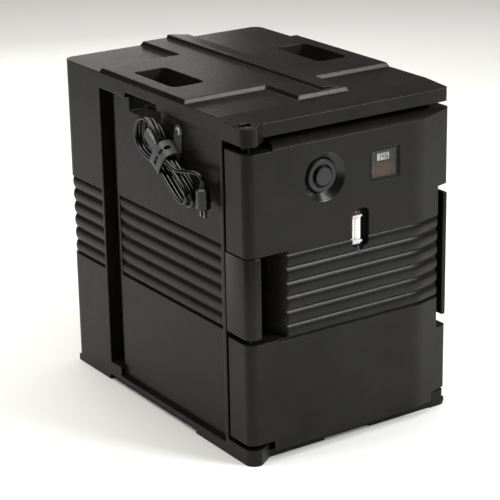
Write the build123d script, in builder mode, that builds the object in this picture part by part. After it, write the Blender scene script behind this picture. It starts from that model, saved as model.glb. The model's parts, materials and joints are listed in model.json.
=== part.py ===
"""Insulated pan carrier with an electrically heated door, in millimetres.

X runs to the right, the door faces -Y, +Z is up.  The origin is on the floor, in the
middle of the carrier's footprint.
"""
import os
from math import cos, radians, sin

from build123d import *

os.makedirs("parts", exist_ok=True)

# ---------------------------------------------------------------- driving dimensions
WIDTH = 465.0
DEPTH = 650.0
LEFT, RIGHT = -WIDTH / 2, WIDTH / 2
FRONT, BACK = -DEPTH / 2, DEPTH / 2

LIP_TOP = 636.0              # front edge of the roof
ROOF = 641.0                 # flat quarters of the roof
CROSS_TOP = 649.0            # raised stacking cross
CREST_TOP = 655.0            # ridge along the cross's spine
LIP_BOTTOM = 611.0
LIP_SETBACK = 20.0           # roof and sill stand back from the door face
BASE_TOP = 22.0              # the base rim stands proud of the side panels
FOOT = 12.0                  # stacking feet

DOOR_THICK = 72.0
RIM = FRONT + 75.0           # sealing face of the body
DOOR_BOTTOM = 21.0
DOOR_TOP = 600.0
DOOR_FRONT_TOP = 592.0       # the door's top slopes down to its front edge
SWEEP_START = RIGHT - 82.0   # where the door face turns back towards the latch
SWEEP_BACK = 20.0

HINGE_X = LEFT + 20.0
HINGE_Y = FRONT + 30.0
KNUCKLE_CLEAR = 46.0         # radius kept free round the hinge axis
EAR_TOP_BOTTOM = 604.0
EAR_BOTTOM_TOP = 31.0
LAND = 590.0                 # door top under the upper ear
HEEL = 41.0                  # door bottom over the lower ear
POST_BOTTOM, POST_TOP = 246.0, 399.5
BLOCK_LOW_TOP, BLOCK_HIGH_BOTTOM = 236.5, 401.5
PIN_RADIUS = 5.0
PIN_FIT = 0.06               # radial running clearance of every pin and rod
PIN_HEAD_RADIUS = 10.0
HEAD_ROOM_RADIUS, HEAD_ROOM_DEEP = 12.0, 9.0
BUSH_LONG = 24.0
BUSH_RADIUS = 8.0
COLLAR_RADIUS = 8.5
BUSHES = {
    "upper_door_bush": (LAND - BUSH_LONG, LAND),
    "post_bush_upper": (BLOCK_HIGH_BOTTOM, BLOCK_HIGH_BOTTOM + BUSH_LONG),
    "post_bush_lower": (BLOCK_LOW_TOP - BUSH_LONG, BLOCK_LOW_TOP),
    "lower_door_bush": (HEEL, HEEL + BUSH_LONG),
}

RIB_COUNT = 6
RIB_PITCH = 27.3
RIB_DEPTH = 5.0
RIB_RELIEF = 0.6             # crests stand this far below the face
DOOR_RIBS = 231.3
SIDE_RIBS = 239.0
RIB_ZONE = (SIDE_RIBS - 4, SIDE_RIBS + RIB_COUNT * RIB_PITCH + 4)

EAR_OUT = FRONT              # the ears reach the door face
WALL_OUT = 14.0              # panel step and skin outside the foam
WALL_IN = 5.0                # liner and skin thickness

CAVITY_LEFT = LEFT + 60.0
CAVITY_RIGHT = RIGHT - 60.0
CAVITY_BACK = BACK - 35.0
CAVITY_BOTTOM, CAVITY_TOP = 75.0, 545.0
RAIL_DEPTH = 12.0
RAIL_THICK = 9.0
RAIL_PITCH = 44.0
RAIL_COUNT = 10

PANEL_FRONT = FRONT + 84.0
PANEL_BACK = FRONT + 467.0
CHANNEL_BACK = FRONT + 507.0
PANEL_DEEP = 9.0
CHANNEL_DEEP = 30.0
CHANNEL_BOTTOM = 40.0
GRIP_FRONT, GRIP_BACK = FRONT + 285.0, FRONT + 433.0
GRIP_FLOOR = 583.0

CROSS_FRONT, CROSS_BACK = FRONT + 197.0, FRONT + 505.0
BAR_LEFT, BAR_RIGHT = LEFT + 178.0, LEFT + 294.0
BAR_FRONT = FRONT + 96.0
CROSS_DRAFT = 28.0
CREST_X = LEFT + 237.0         # the ridge's steep left side

VENT_X, VENT_Z = LEFT + 167.5, 523.5
GAUGE_X, GAUGE_BOTTOM, GAUGE_TOP = LEFT + 247.0, 376.0, 450.0
NIB_LONG, NIB_RADIUS = 21.0, 11.0
DIAL_X, DIAL_Z = LEFT + 301.5, 524.8
VENT_SEAT_RADIUS, VENT_NECK_RADIUS, VENT_STEM_RADIUS = 30.5, 12.0, 8.0
VENT_RING_FRONT = FRONT + 7.0
DIAL_FRONT = FRONT + 0.4
DIAL_HALF_X, DIAL_HALF_Z = 34.2, 30.8
GLASS_HALF_X, GLASS_HALF_Z = 30.5, 27.0
BOARD_HALF_X, BOARD_HALF_Z = 28.0, 25.0
LCD_X, LCD_Z = DIAL_X - 2.0, 537.3
CELL_X, CELL_Z = DIAL_X - 1.5, 513.3
CARD_X, CARD_HALF = GAUGE_X - 4.0, 10.4
TUBE_BOTTOM, TUBE_TOP = 382.0, 446.0

DOOR_BACK = FRONT + DOOR_THICK
GASKET_HALF_X, GASKET_Z = 184.5, (61.0, 559.0)
GASKET_WIDE, GASKET_SUNK = 8.0, 4.0
HEATER_X, HEATER_Z = 128.0, (125.0, 500.0)
HEATER_SEAT = FRONT + 66.0
HEATER_MIDDLE = sum(HEATER_Z) / 2
HEATER_SCREW_X, HEATER_SCREW_PITCH = HEATER_X - 12, 175.5
SERVICE_X = (40.0, 207.0)    # hollow behind the liner for the heater's controls
SERVICE_Y = (FRONT + 41, FRONT + 64)
SERVICE_Z = (86.0, 190.0)
CONTROL_BACK = SERVICE_Y[1]
THERMOSTAT_X, CUTOFF_X, CONTROL_Z = 90.0, 130.0, 160.0
INLET_Y, INLET_Z = FRONT + 47.0, 118.0
INLET_BACK = SERVICE_X[1] - 2
PIN_SPREAD = 7.0
LEAD_RADIUS = 2.2
LEAD_Y = INLET_Y - 3

LATCH_BOTTOM, LATCH_TOP = 192.0, 436.0
POCKET_BOTTOM, POCKET_TOP = 168.0, 452.0
ROD_X, ROD_Y = RIGHT - 9.0, FRONT + 104.0
ROD_RADIUS = 3.0
ARM_OUT = LEFT + 461.0
ARM_IN = LEFT + 453.5
NOSE = LEFT + 450.9
BRACKET_FOOT = RIGHT - 19.0
BRACKET_SCREW_Y = ROD_Y + 15.5
BRACKET_SCREW_Z = (LATCH_BOTTOM - 7.5, LATCH_TOP + 7.5)

PANEL = LEFT + PANEL_DEEP
HANK_Y, HANK_Z = FRONT + 237.5, 524.5
HANK_LONG, HANK_WIDE, HANK_THICK = 226.0, 82.0, 34.0
HANK_ANGLE = 34.0            # its lower end leans towards the door
HANK_IN = PANEL - 3.7        # the hank's face towards the panel
CONNECTOR_LONG, CONNECTOR_WIDE, CONNECTOR_THICK = 46.0, 26.0, 20.0
CONNECTOR_ALONG = -60.0
PLUG_RADIUS, PLUG_LONG = 13.0, 40.0
PLUG_ROUND = radians(36)     # how far round the hank's lower bend the plug lies
PLUG_OUT = HANK_WIDE / 2 + PLUG_RADIUS + 2
STRAP_WIDE, STRAP_THICK = 34.0, 3.0
STRAP_ALONG = -13.0          # the strap sits this far above the hank's middle
STRAP_BACK = PANEL - 0.2
STRAP_FACE = STRAP_BACK - STRAP_THICK
STRAP_HOLE = 5.0
EYELET_ALONG, EYELET_ACROSS = -27.0, 53.0
EYELET_RADIUS = 7.5
SCREW_RADIUS, SCREW_DEEP = 2.4, 4.6


def hank_point(along, across):
    """Y and Z of a point beside the hank: along points down it, across up and forwards."""
    lean = radians(HANK_ANGLE)
    return (HANK_Y - along * cos(lean) - across * sin(lean),
            HANK_Z - along * sin(lean) + across * cos(lean))


EYELET_Y, EYELET_Z = hank_point(EYELET_ALONG, EYELET_ACROSS)


# ---------------------------------------------------------------- small builders
def block(x, y, z, mode=Mode.ADD):
    """A box between two values on each axis."""
    with Locations(((x[0] + x[1]) / 2, (y[0] + y[1]) / 2, (z[0] + z[1]) / 2)):
        Box(x[1] - x[0], y[1] - y[0], z[1] - z[0], mode=mode)


def prism(points, z, mode=Mode.ADD, rounds=()):
    """A plan outline carried from z[0] to z[1]; rounds holds (x, y, radius) corners."""
    with BuildSketch(Plane.XY.offset(z[0])) as outline:
        with BuildLine():
            Polyline(*points, close=True)
        make_face()
        for x, y, radius in rounds:
            corner = outline.vertices().sort_by_distance((x, y, z[0]))[0]
            fillet(corner, radius)
    extrude(outline.sketch, amount=z[1] - z[0], mode=mode)


def upright(x, y, z, radius, mode=Mode.ADD):
    """A vertical cylinder between two heights."""
    with Locations((x, y, (z[0] + z[1]) / 2)):
        Cylinder(radius, z[1] - z[0], mode=mode)


def along_y(x, y, z, radius, mode=Mode.ADD):
    """A cylinder along Y between y[0] and y[1]."""
    with Locations(Location((x, (y[0] + y[1]) / 2, z), (90, 0, 0))):
        Cylinder(radius, y[1] - y[0], mode=mode)


def along_x(x, y, z, radius, mode=Mode.ADD):
    """A cylinder along X between x[0] and x[1]."""
    with Locations(Location(((x[0] + x[1]) / 2, y, z), (0, 90, 0))):
        Cylinder(radius, x[1] - x[0], mode=mode)


def rib_section(plane, bottom, outside=3.0):
    """The space outside a stack of rounded ribs: local X points out, local Y up."""
    top = bottom + RIB_COUNT * RIB_PITCH
    with BuildSketch(plane) as section:
        with BuildLine():
            Line((outside, bottom), (-RIB_DEPTH, bottom))
            for k in range(RIB_COUNT):
                low = bottom + k * RIB_PITCH
                ThreePointArc((-RIB_DEPTH, low), (-RIB_RELIEF, low + RIB_PITCH / 2),
                              (-RIB_DEPTH, low + RIB_PITCH))
            Line((-RIB_DEPTH, top), (outside, top))
            Line((outside, top), (outside, bottom))
        make_face()
    return section


def side_ribs(x, y0, y1, outward):
    """Cuts straight ribs into a side wall at x, from y0 to y1."""
    plane = Plane(origin=(x, y0, 0), x_dir=(outward, 0, 0), z_dir=(0, -outward, 0))
    section = rib_section(plane, SIDE_RIBS)
    extrude(section.sketch, amount=-outward * (y1 - y0), mode=Mode.SUBTRACT)


# ---------------------------------------------------------------- body
def pan_cavity(mode):
    """The oven-like space: a rounded box with ledges left standing on both sides."""
    with BuildSketch(Plane.XZ.offset(-RIM + 1)) as mouth:
        with Locations(((CAVITY_LEFT + CAVITY_RIGHT) / 2, (CAVITY_BOTTOM + CAVITY_TOP) / 2)):
            RectangleRounded(CAVITY_RIGHT - CAVITY_LEFT, CAVITY_TOP - CAVITY_BOTTOM, 18)
    extrude(mouth.sketch, amount=-(CAVITY_BACK - RIM + 1), mode=mode)


def pan_rails():
    """Ledges for the pan rims, moulded with the liner."""
    for k in range(RAIL_COUNT):
        low = CAVITY_BOTTOM + 30 + k * RAIL_PITCH
        for wall, inward in ((CAVITY_LEFT, 1), (CAVITY_RIGHT, -1)):
            tip = wall + inward * RAIL_DEPTH
            x = sorted((wall - inward * 2, tip))
            block(x, (RIM + 12, CAVITY_BACK + 2), (low, low + RAIL_THICK))


def hand_grip(side):
    """A hand hole: down through the roof, and out through the side under the grip bar."""
    edge = LEFT if side < 0 else RIGHT
    inner, outer = edge - side * 104, edge - side * 32
    x = sorted((inner, outer))
    y0, y1 = GRIP_FRONT, GRIP_BACK
    with BuildSketch(Plane.XY.offset(CROSS_TOP + 1)) as pocket:
        with Locations(((x[0] + x[1]) / 2, (y0 + y1) / 2)):
            RectangleRounded(x[1] - x[0], y1 - y0, 14)
    extrude(pocket.sketch, amount=-(CROSS_TOP + 1 - 586), taper=8, mode=Mode.SUBTRACT)
    out = sorted((edge + side * 2, edge - side * 50))
    block(out, (y0 + 8, y1 - 24), (GRIP_FLOOR, 621), mode=Mode.SUBTRACT)


with BuildPart() as body_foam:
    foam_z = (FOOT + WALL_IN, ROOF - WALL_IN)
    block((LEFT + WALL_OUT, RIGHT - WALL_OUT), (RIM + WALL_IN, BACK - WALL_IN), foam_z)
    block((LEFT + WALL_IN, RIGHT - WALL_IN), (CHANNEL_BACK + WALL_IN, BACK - 22), foam_z)
    for edge, inward in ((LEFT, 1), (RIGHT, -1)):
        for depth, y0, y1 in ((18, RIM, PANEL_BACK), (10, CHANNEL_BACK, BACK)):
            slab = sorted((edge, edge + inward * depth))
            block(slab, (y0, y1), RIB_ZONE, mode=Mode.SUBTRACT)
    block((LEFT, RIGHT), (BACK - 10, BACK), RIB_ZONE, mode=Mode.SUBTRACT)
    block((CAVITY_LEFT - WALL_IN, CAVITY_RIGHT + WALL_IN), (RIM, CAVITY_BACK + WALL_IN),
          (CAVITY_BOTTOM - WALL_IN, CAVITY_TOP + WALL_IN), mode=Mode.SUBTRACT)
    for edge, inward in ((LEFT, 1), (RIGHT, -1)):
        channel = sorted((edge, edge + inward * (CHANNEL_DEEP + 6)))
        block(channel, (PANEL_BACK - 6, CHANNEL_BACK + 6), (CHANNEL_BOTTOM - 6, LIP_BOTTOM + 5),
              mode=Mode.SUBTRACT)
        grip = sorted((edge, edge + inward * 112))
        block(grip, (GRIP_FRONT - 6, GRIP_BACK + 6), (GRIP_FLOOR - 5, ROOF), mode=Mode.SUBTRACT)
    latch_bay = (RIGHT - 26, RIGHT)
    block(latch_bay, (RIM, RIM + 62), (POCKET_BOTTOM - 8, POCKET_TOP + 16), mode=Mode.SUBTRACT)
    block((LEFT, LEFT + 36), (RIM, RIM + 30), (POST_BOTTOM, POST_TOP), mode=Mode.SUBTRACT)

with BuildPart() as body_shell:
    # insulated box behind the sealing face
    prism([(LEFT, RIM), (RIGHT, RIM), (RIGHT, BACK), (LEFT, BACK)], (FOOT, ROOF),
          rounds=[(LEFT, BACK, 22), (RIGHT, BACK, 22)])
    # roof lip with the hinge ear on its left
    lip = FRONT + LIP_SETBACK
    prism([(LEFT, lip + 20), (LEFT + 50, lip), (RIGHT, lip), (RIGHT, RIM + 5), (LEFT, RIM + 5)],
          (LIP_BOTTOM, ROOF), rounds=[(RIGHT, lip, 9)])
    prism([(LEFT, EAR_OUT), (LEFT + 24, EAR_OUT), (LEFT + 50, lip), (LEFT + 50, RIM + 33),
           (LEFT, RIM + 33)], (EAR_TOP_BOTTOM, LIP_TOP),
          rounds=[(LEFT, EAR_OUT, 20), (LEFT + 24, EAR_OUT, 10)])
    # sill, lower ear and right base corner
    block((LEFT + 2, RIGHT), (lip, RIM + 5), (6, 16))
    prism([(LEFT, EAR_OUT), (LEFT + 24, EAR_OUT), (LEFT + 56, lip + 2), (LEFT + 46, RIM - 15),
           (LEFT + 27, RIM - 2), (LEFT + 56, RIM), (LEFT + 56, RIM + 43), (LEFT, RIM + 43)],
          (0, EAR_BOTTOM_TOP),
          rounds=[(LEFT, EAR_OUT, 20), (LEFT + 24, EAR_OUT, 10)])
    prism([(RIGHT - 34, lip), (RIGHT, lip), (RIGHT, RIM + 5), (RIGHT - 34, RIM + 5)],
          (0, EAR_BOTTOM_TOP), rounds=[(RIGHT, lip, 9)])
    # stacking feet fill the four quarters around the cross-shaped relief
    for x0, x1 in ((LEFT, LEFT + 180), (LEFT + 287, RIGHT)):
        block((x0, x1), (lip + 2, CROSS_FRONT - 8), (0, FOOT + 1))
        block((x0, x1), (CROSS_BACK + 8, BACK - 8), (0, FOOT + 1))
    # sloping front apron of the roof
    with BuildSketch(Plane.YZ.offset(LEFT - 1)) as apron:
        with BuildLine():
            Polyline((FRONT - 1, LIP_TOP), (FRONT + LIP_SETBACK, LIP_TOP), (FRONT + 88, ROOF),
                     (FRONT + 88, ROOF + 4), (FRONT - 1, ROOF + 4), close=True)
        make_face()
    extrude(apron.sketch, amount=WIDTH + 2, mode=Mode.SUBTRACT)
    # raised stacking cross with drafted sides, and the ridge along its spine
    with BuildSketch(Plane.XY.offset(ROOF - 1)) as cross:
        with BuildLine():
            Polyline((LEFT, CROSS_FRONT), (BAR_LEFT, CROSS_FRONT), (BAR_LEFT, BAR_FRONT),
                     (BAR_RIGHT, BAR_FRONT), (BAR_RIGHT, CROSS_FRONT), (RIGHT, CROSS_FRONT),
                     (RIGHT, CROSS_BACK), (BAR_RIGHT, CROSS_BACK), (BAR_RIGHT, BACK),
                     (BAR_LEFT, BACK), (BAR_LEFT, CROSS_BACK), (LEFT, CROSS_BACK), close=True)
        make_face()
    extrude(cross.sketch, amount=CROSS_TOP - ROOF + 1, taper=CROSS_DRAFT)
    with BuildSketch(Plane.XZ.offset(-BAR_FRONT - 8)) as crest:
        with BuildLine():
            Polyline((CREST_X, CROSS_TOP - 1), (CREST_X + 3, CREST_TOP), (CREST_X + 10, CREST_TOP),
                     (BAR_RIGHT - 6, CROSS_TOP), (BAR_RIGHT - 6, CROSS_TOP - 1), close=True)
        make_face()
    extrude(crest.sketch, amount=-(BACK - 6 - BAR_FRONT - 8))
    # side panels stand back between the lip and the base rim, with a strap channel behind
    for edge, outward in ((LEFT, -1), (RIGHT, 1)):
        panel = sorted((edge + outward, edge - outward * PANEL_DEEP))
        block(panel, (PANEL_FRONT, PANEL_BACK), (BASE_TOP, LIP_BOTTOM - 1), mode=Mode.SUBTRACT)
        channel = sorted((edge + outward, edge - outward * CHANNEL_DEEP))
        block(channel, (PANEL_BACK, CHANNEL_BACK), (CHANNEL_BOTTOM, LIP_BOTTOM - 1),
              mode=Mode.SUBTRACT)
        side_ribs(edge - outward * PANEL_DEEP, PANEL_FRONT + 6, PANEL_BACK - 6, outward)
    for side in (-1, 1):
        hand_grip(side)
    # pan space with its ledges
    pan_cavity(Mode.SUBTRACT)
    pan_rails()

    add(body_foam.part, mode=Mode.SUBTRACT)
    # ribs round the rear corners
    rear_start = (LEFT, CHANNEL_BACK + 6, 0)
    rear = rib_section(Plane(origin=rear_start, x_dir=(-1, 0, 0), z_dir=(0, 1, 0)), SIDE_RIBS)
    with BuildLine() as rear_path:
        FilletPolyline(rear_start, (LEFT, BACK, 0), (RIGHT, BACK, 0),
                       (RIGHT, CHANNEL_BACK + 6, 0), radius=22)
    sweep(rear.sketch, path=rear_path.wire(), mode=Mode.SUBTRACT)
    # hinge bores, with room for the pin heads
    upright(HINGE_X, HINGE_Y, (EAR_TOP_BOTTOM - 1, LIP_TOP + 1), PIN_RADIUS + PIN_FIT,
            mode=Mode.SUBTRACT)
    upright(HINGE_X, HINGE_Y, (LIP_TOP - HEAD_ROOM_DEEP, LIP_TOP + 1), HEAD_ROOM_RADIUS,
            mode=Mode.SUBTRACT)
    upright(HINGE_X, HINGE_Y, (-1, EAR_BOTTOM_TOP + 1), PIN_RADIUS + PIN_FIT,
            mode=Mode.SUBTRACT)
    upright(HINGE_X, HINGE_Y, (-1, HEAD_ROOM_DEEP), HEAD_ROOM_RADIUS, mode=Mode.SUBTRACT)
    # socket of the hinge post's moulded-in foot
    block((LEFT + 5, LEFT + 25), (RIM - 1, RIM + 20), (POST_BOTTOM + 10, POST_TOP - 10),
          mode=Mode.SUBTRACT)
    # latch bay
    block((RIGHT - 19, RIGHT + 1), (RIM - 1, RIM + 52), (POCKET_BOTTOM, POCKET_TOP + 8),
          mode=Mode.SUBTRACT)
    # bore for the cord strap's screw
    along_x((PANEL - 1, PANEL + SCREW_DEEP), EYELET_Y, EYELET_Z, SCREW_RADIUS,
            mode=Mode.SUBTRACT)

# ---------------------------------------------------------------- hinge
with BuildPart() as hinge_post:
    prism([(LEFT, FRONT), (LEFT + 30, FRONT), (LEFT + 30, RIM - 2), (LEFT, RIM - 2)],
          (POST_BOTTOM, POST_TOP), rounds=[(LEFT, FRONT, 18), (LEFT + 30, FRONT, 5)])
    block((LEFT + 5, LEFT + 25), (RIM - 3, RIM + 20), (POST_BOTTOM + 10, POST_TOP - 10))
    upright(HINGE_X, HINGE_Y, (POST_BOTTOM - 1, POST_TOP + 1), PIN_RADIUS + PIN_FIT,
            mode=Mode.SUBTRACT)


def headed_pin(head, shaft, socket_up):
    """A hinge pin: a slotted head and a shaft, given as Z ranges."""
    upright(HINGE_X, HINGE_Y, head, PIN_HEAD_RADIUS)
    upright(HINGE_X, HINGE_Y, shaft, PIN_RADIUS)
    slot_z = (head[1] - 2, head[1] + 1) if socket_up else (head[0] - 1, head[0] + 2)
    block((HINGE_X - 11, HINGE_X + 11), (HINGE_Y - 1.2, HINGE_Y + 1.2), slot_z,
          mode=Mode.SUBTRACT)


with BuildPart() as upper_hinge_pin:
    headed_pin((LIP_TOP - 9, LIP_TOP - 3), (LAND - BUSH_LONG, LIP_TOP - 8), True)

with BuildPart() as lower_hinge_pin:
    headed_pin((3, 9), (8, HEEL + BUSH_LONG), False)

with BuildPart() as middle_hinge_pin:
    upright(HINGE_X, HINGE_Y, (BLOCK_LOW_TOP - BUSH_LONG, BLOCK_HIGH_BOTTOM + BUSH_LONG),
            PIN_RADIUS)
    chamfer(middle_hinge_pin.edges().filter_by(GeomType.CIRCLE), 0.8)


def ring(z, outer):
    """A collar on the hinge axis."""
    upright(HINGE_X, HINGE_Y, z, outer)
    upright(HINGE_X, HINGE_Y, (z[0] - 1, z[1] + 1), PIN_RADIUS + PIN_FIT, mode=Mode.SUBTRACT)


with BuildPart() as upper_spacer:
    ring((LAND + 0.4, EAR_TOP_BOTTOM), COLLAR_RADIUS)

with BuildPart() as lower_spacer:
    ring((EAR_BOTTOM_TOP, HEEL - 0.4), COLLAR_RADIUS)

bushes = {}
for bush_name, span in BUSHES.items():
    with BuildPart() as bush:
        ring(span, BUSH_RADIUS)
    bushes[bush_name] = bush.part

# ---------------------------------------------------------------- door
with BuildPart() as door_foam:
    block((LEFT + 92, RIGHT - 46), (FRONT + 16, FRONT + 60), (48, 580))
    along_y(VENT_X, (FRONT, FRONT + 28), VENT_Z, 38, mode=Mode.SUBTRACT)
    along_y(VENT_X, (FRONT, DOOR_BACK), VENT_Z, 16, mode=Mode.SUBTRACT)
    block((DIAL_X - DIAL_HALF_X - 5, DIAL_X + DIAL_HALF_X + 5), (FRONT, FRONT + 21),
          (DIAL_Z - DIAL_HALF_Z - 5, DIAL_Z + DIAL_HALF_Z + 5), mode=Mode.SUBTRACT)
    along_y(DIAL_X, (FRONT, DOOR_BACK), DIAL_Z, 6, mode=Mode.SUBTRACT)
    block((GAUGE_X - 25, GAUGE_X + 25), (FRONT, FRONT + 21), (GAUGE_BOTTOM - 22, GAUGE_TOP + 6),
          mode=Mode.SUBTRACT)
    block((SERVICE_X[0] - 5, SERVICE_X[1] + 5), (SERVICE_Y[0] - 5, DOOR_BACK),
          (SERVICE_Z[0] - 5, SERVICE_Z[1] + 5), mode=Mode.SUBTRACT)


def gasket_band(y0, y1, mode=Mode.ADD):
    """The gasket's rectangular loop between two depths."""
    width, height = 2 * GASKET_HALF_X, GASKET_Z[1] - GASKET_Z[0]
    with BuildSketch(Plane.XZ.offset(-y0)) as band:
        with Locations((0, sum(GASKET_Z) / 2)):
            Rectangle(width, height)
            Rectangle(width - 2 * GASKET_WIDE, height - 2 * GASKET_WIDE, mode=Mode.SUBTRACT)
    extrude(band.sketch, amount=y0 - y1, mode=mode)


def door_outline(z):
    """The door in plan: rounded at the hinge, swept back at the latch."""
    back_corner = HINGE_Y + 36.93
    with BuildSketch(Plane.XY.offset(z)) as outline:
        with BuildLine():
            Polyline((LEFT, back_corner), (LEFT, FRONT), (SWEEP_START, FRONT),
                     (RIGHT, FRONT + SWEEP_BACK), (RIGHT, DOOR_BACK), (HINGE_X, DOOR_BACK))
            ThreePointArc((HINGE_X, DOOR_BACK),
                          (HINGE_X + 42 * cos(radians(104.2)), HINGE_Y + 42 * sin(radians(104.2))),
                          (LEFT, back_corner))
        make_face()
        for x, y, radius in ((LEFT, FRONT, 18), (SWEEP_START, FRONT, 120),
                             (RIGHT, FRONT + SWEEP_BACK, 7)):
            fillet(outline.vertices().sort_by_distance((x, y, 0))[0], radius)
    return outline.sketch


with BuildPart() as door_shell:
    extrude(door_outline(DOOR_BOTTOM), amount=DOOR_TOP - DOOR_BOTTOM)
    # top slopes down to the front, with a flat land under the ear
    with BuildSketch(Plane.YZ.offset(LEFT - 1)) as slope:
        with BuildLine():
            Polyline((FRONT - 1, DOOR_FRONT_TOP), (FRONT, DOOR_FRONT_TOP), (FRONT + 24, DOOR_TOP),
                     (FRONT + 24, DOOR_TOP + 5), (FRONT - 1, DOOR_TOP + 5), close=True)
        make_face()
    extrude(slope.sketch, amount=WIDTH + 2, mode=Mode.SUBTRACT)
    upright(HINGE_X, HINGE_Y, (LAND, DOOR_TOP + 1), KNUCKLE_CLEAR, mode=Mode.SUBTRACT)
    # heel over the lower ear, and the notch over the base corner
    upright(HINGE_X, HINGE_Y, (DOOR_BOTTOM - 1, HEEL), KNUCKLE_CLEAR - 2, mode=Mode.SUBTRACT)
    block((RIGHT - 40, RIGHT + 1), (FRONT, DOOR_BACK + 1), (DOOR_BOTTOM - 1, 38),
          mode=Mode.SUBTRACT)
    # ribs across the front, following the sweep
    rib_start = (LEFT + 60, FRONT, 0)
    front_ribs = rib_section(Plane(origin=rib_start, x_dir=(0, -1, 0), z_dir=(-1, 0, 0)),
                             DOOR_RIBS)
    sweep_slope = SWEEP_BACK / (RIGHT - SWEEP_START)
    with BuildLine() as rib_path:
        FilletPolyline(rib_start, (SWEEP_START, FRONT, 0),
                       (RIGHT + 15, FRONT + SWEEP_BACK + 15 * sweep_slope, 0), radius=120)
    sweep(front_ribs.sketch, path=rib_path.wire(), mode=Mode.SUBTRACT)
    # clearance round the hinge post, flared towards the front
    upright(HINGE_X, HINGE_Y, (BLOCK_LOW_TOP, BLOCK_HIGH_BOTTOM), KNUCKLE_CLEAR,
            mode=Mode.SUBTRACT)
    prism([(LEFT - 1, FRONT - 1), (LEFT + 87.6, FRONT - 1), (LEFT + 62, FRONT + 42),
           (HINGE_X, DOOR_BACK + 2), (LEFT - 1, DOOR_BACK + 2)],
          (BLOCK_LOW_TOP, BLOCK_HIGH_BOTTOM), mode=Mode.SUBTRACT)
    # latch pocket: finger gap, keeper ridge and the latch arm's way
    prism([(LEFT + 438, FRONT - 1), (LEFT + 438, FRONT + 34), (LEFT + 450.2, FRONT + 34),
           (LEFT + 450.2, FRONT + 40), (LEFT + 447, FRONT + 43), (LEFT + 447, DOOR_BACK + 1),
           (RIGHT + 5, DOOR_BACK + 1), (RIGHT + 5, FRONT - 1)], (POCKET_BOTTOM, POCKET_TOP),
          mode=Mode.SUBTRACT)
    # bush seats
    for low, high in BUSHES.values():
        upright(HINGE_X, HINGE_Y, (low, high), BUSH_RADIUS, mode=Mode.SUBTRACT)
    # vent dish and seat
    with Locations(Location((VENT_X, FRONT + 5.5, VENT_Z), (90, 0, 0))):
        Cone(31.5, 45.5, 11, mode=Mode.SUBTRACT)
    along_y(VENT_X, (FRONT + 5, FRONT + 22), VENT_Z, VENT_SEAT_RADIUS, mode=Mode.SUBTRACT)
    along_y(VENT_X, (FRONT + 20, DOOR_BACK + 1), VENT_Z, VENT_NECK_RADIUS, mode=Mode.SUBTRACT)
    # digital thermometer seat and its probe bore
    block((DIAL_X - DIAL_HALF_X, DIAL_X + DIAL_HALF_X), (FRONT - 1, FRONT + 14),
          (DIAL_Z - DIAL_HALF_Z, DIAL_Z + DIAL_HALF_Z), mode=Mode.SUBTRACT)
    along_y(DIAL_X, (FRONT + 13, DOOR_BACK + 1), DIAL_Z, 2.5, mode=Mode.SUBTRACT)
    # capsule pocket of the liquid thermometer, with a pointed scoop below it
    with BuildSketch(Plane.XZ.offset(-FRONT + 1)) as capsule:
        with Locations((GAUGE_X, (GAUGE_BOTTOM + GAUGE_TOP) / 2)):
            RectangleRounded(38, GAUGE_TOP - GAUGE_BOTTOM, 12)
    extrude(capsule.sketch, amount=-15, mode=Mode.SUBTRACT)
    with Locations((GAUGE_X, FRONT, GAUGE_BOTTOM + 3 - NIB_LONG / 2)):
        Cone(0.5, NIB_RADIUS, NIB_LONG, mode=Mode.SUBTRACT)
    # liner: heater seat and service hollow
    block((-HEATER_X, HEATER_X), (HEATER_SEAT, DOOR_BACK + 1), HEATER_Z, mode=Mode.SUBTRACT)
    block(SERVICE_X, SERVICE_Y, SERVICE_Z, mode=Mode.SUBTRACT)
    block((60, 72), (SERVICE_Y[1] - 1, HEATER_SEAT + 1), (150, 162), mode=Mode.SUBTRACT)
    gasket_band(DOOR_BACK - GASKET_SUNK, DOOR_BACK, Mode.SUBTRACT)
    # power inlet in the latch-side edge, below the latch
    block((RIGHT - 3, RIGHT + 1), (INLET_Y - 14, INLET_Y + 14), (INLET_Z - 24, INLET_Z + 24),
          mode=Mode.SUBTRACT)
    block((SERVICE_X[1] - 3, RIGHT), (INLET_Y - 11, INLET_Y + 11), (INLET_Z - 15, INLET_Z + 15),
          mode=Mode.SUBTRACT)
    add(door_foam.part, mode=Mode.SUBTRACT)

# ---------------------------------------------------------------- vent
with BuildPart() as vent_ring:
    along_y(VENT_X, (VENT_RING_FRONT, FRONT + 22), VENT_Z, VENT_SEAT_RADIUS)
    chamfer(vent_ring.edges().filter_by(GeomType.CIRCLE).sort_by(Axis.Y)[0], 1.5)
    along_y(VENT_X, (FRONT + 6, FRONT + 17), VENT_Z, 21.5, mode=Mode.SUBTRACT)
    along_y(VENT_X, (FRONT + 22, DOOR_BACK - 1), VENT_Z, VENT_NECK_RADIUS)
    along_y(VENT_X, (FRONT + 16, DOOR_BACK), VENT_Z, VENT_STEM_RADIUS + PIN_FIT,
            mode=Mode.SUBTRACT)

with BuildPart() as vent_cap:
    along_y(VENT_X, (FRONT + 1.5, FRONT + 11), VENT_Z, 17.5)
    chamfer(vent_cap.edges().filter_by(GeomType.CIRCLE).sort_by(Axis.Y)[0], 1.2)
    with BuildSketch(Plane.XZ.offset(-FRONT - 1.5)) as flutes:
        with Locations((VENT_X, VENT_Z)):
            with PolarLocations(17.9, 24):
                Circle(1.2)
    extrude(flutes.sketch, amount=-9, mode=Mode.SUBTRACT)
    along_y(VENT_X, (FRONT + 11, FRONT + 48), VENT_Z, VENT_STEM_RADIUS)
    along_y(VENT_X, (FRONT + 30, FRONT + 49), VENT_Z, 5.5, mode=Mode.SUBTRACT)

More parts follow.
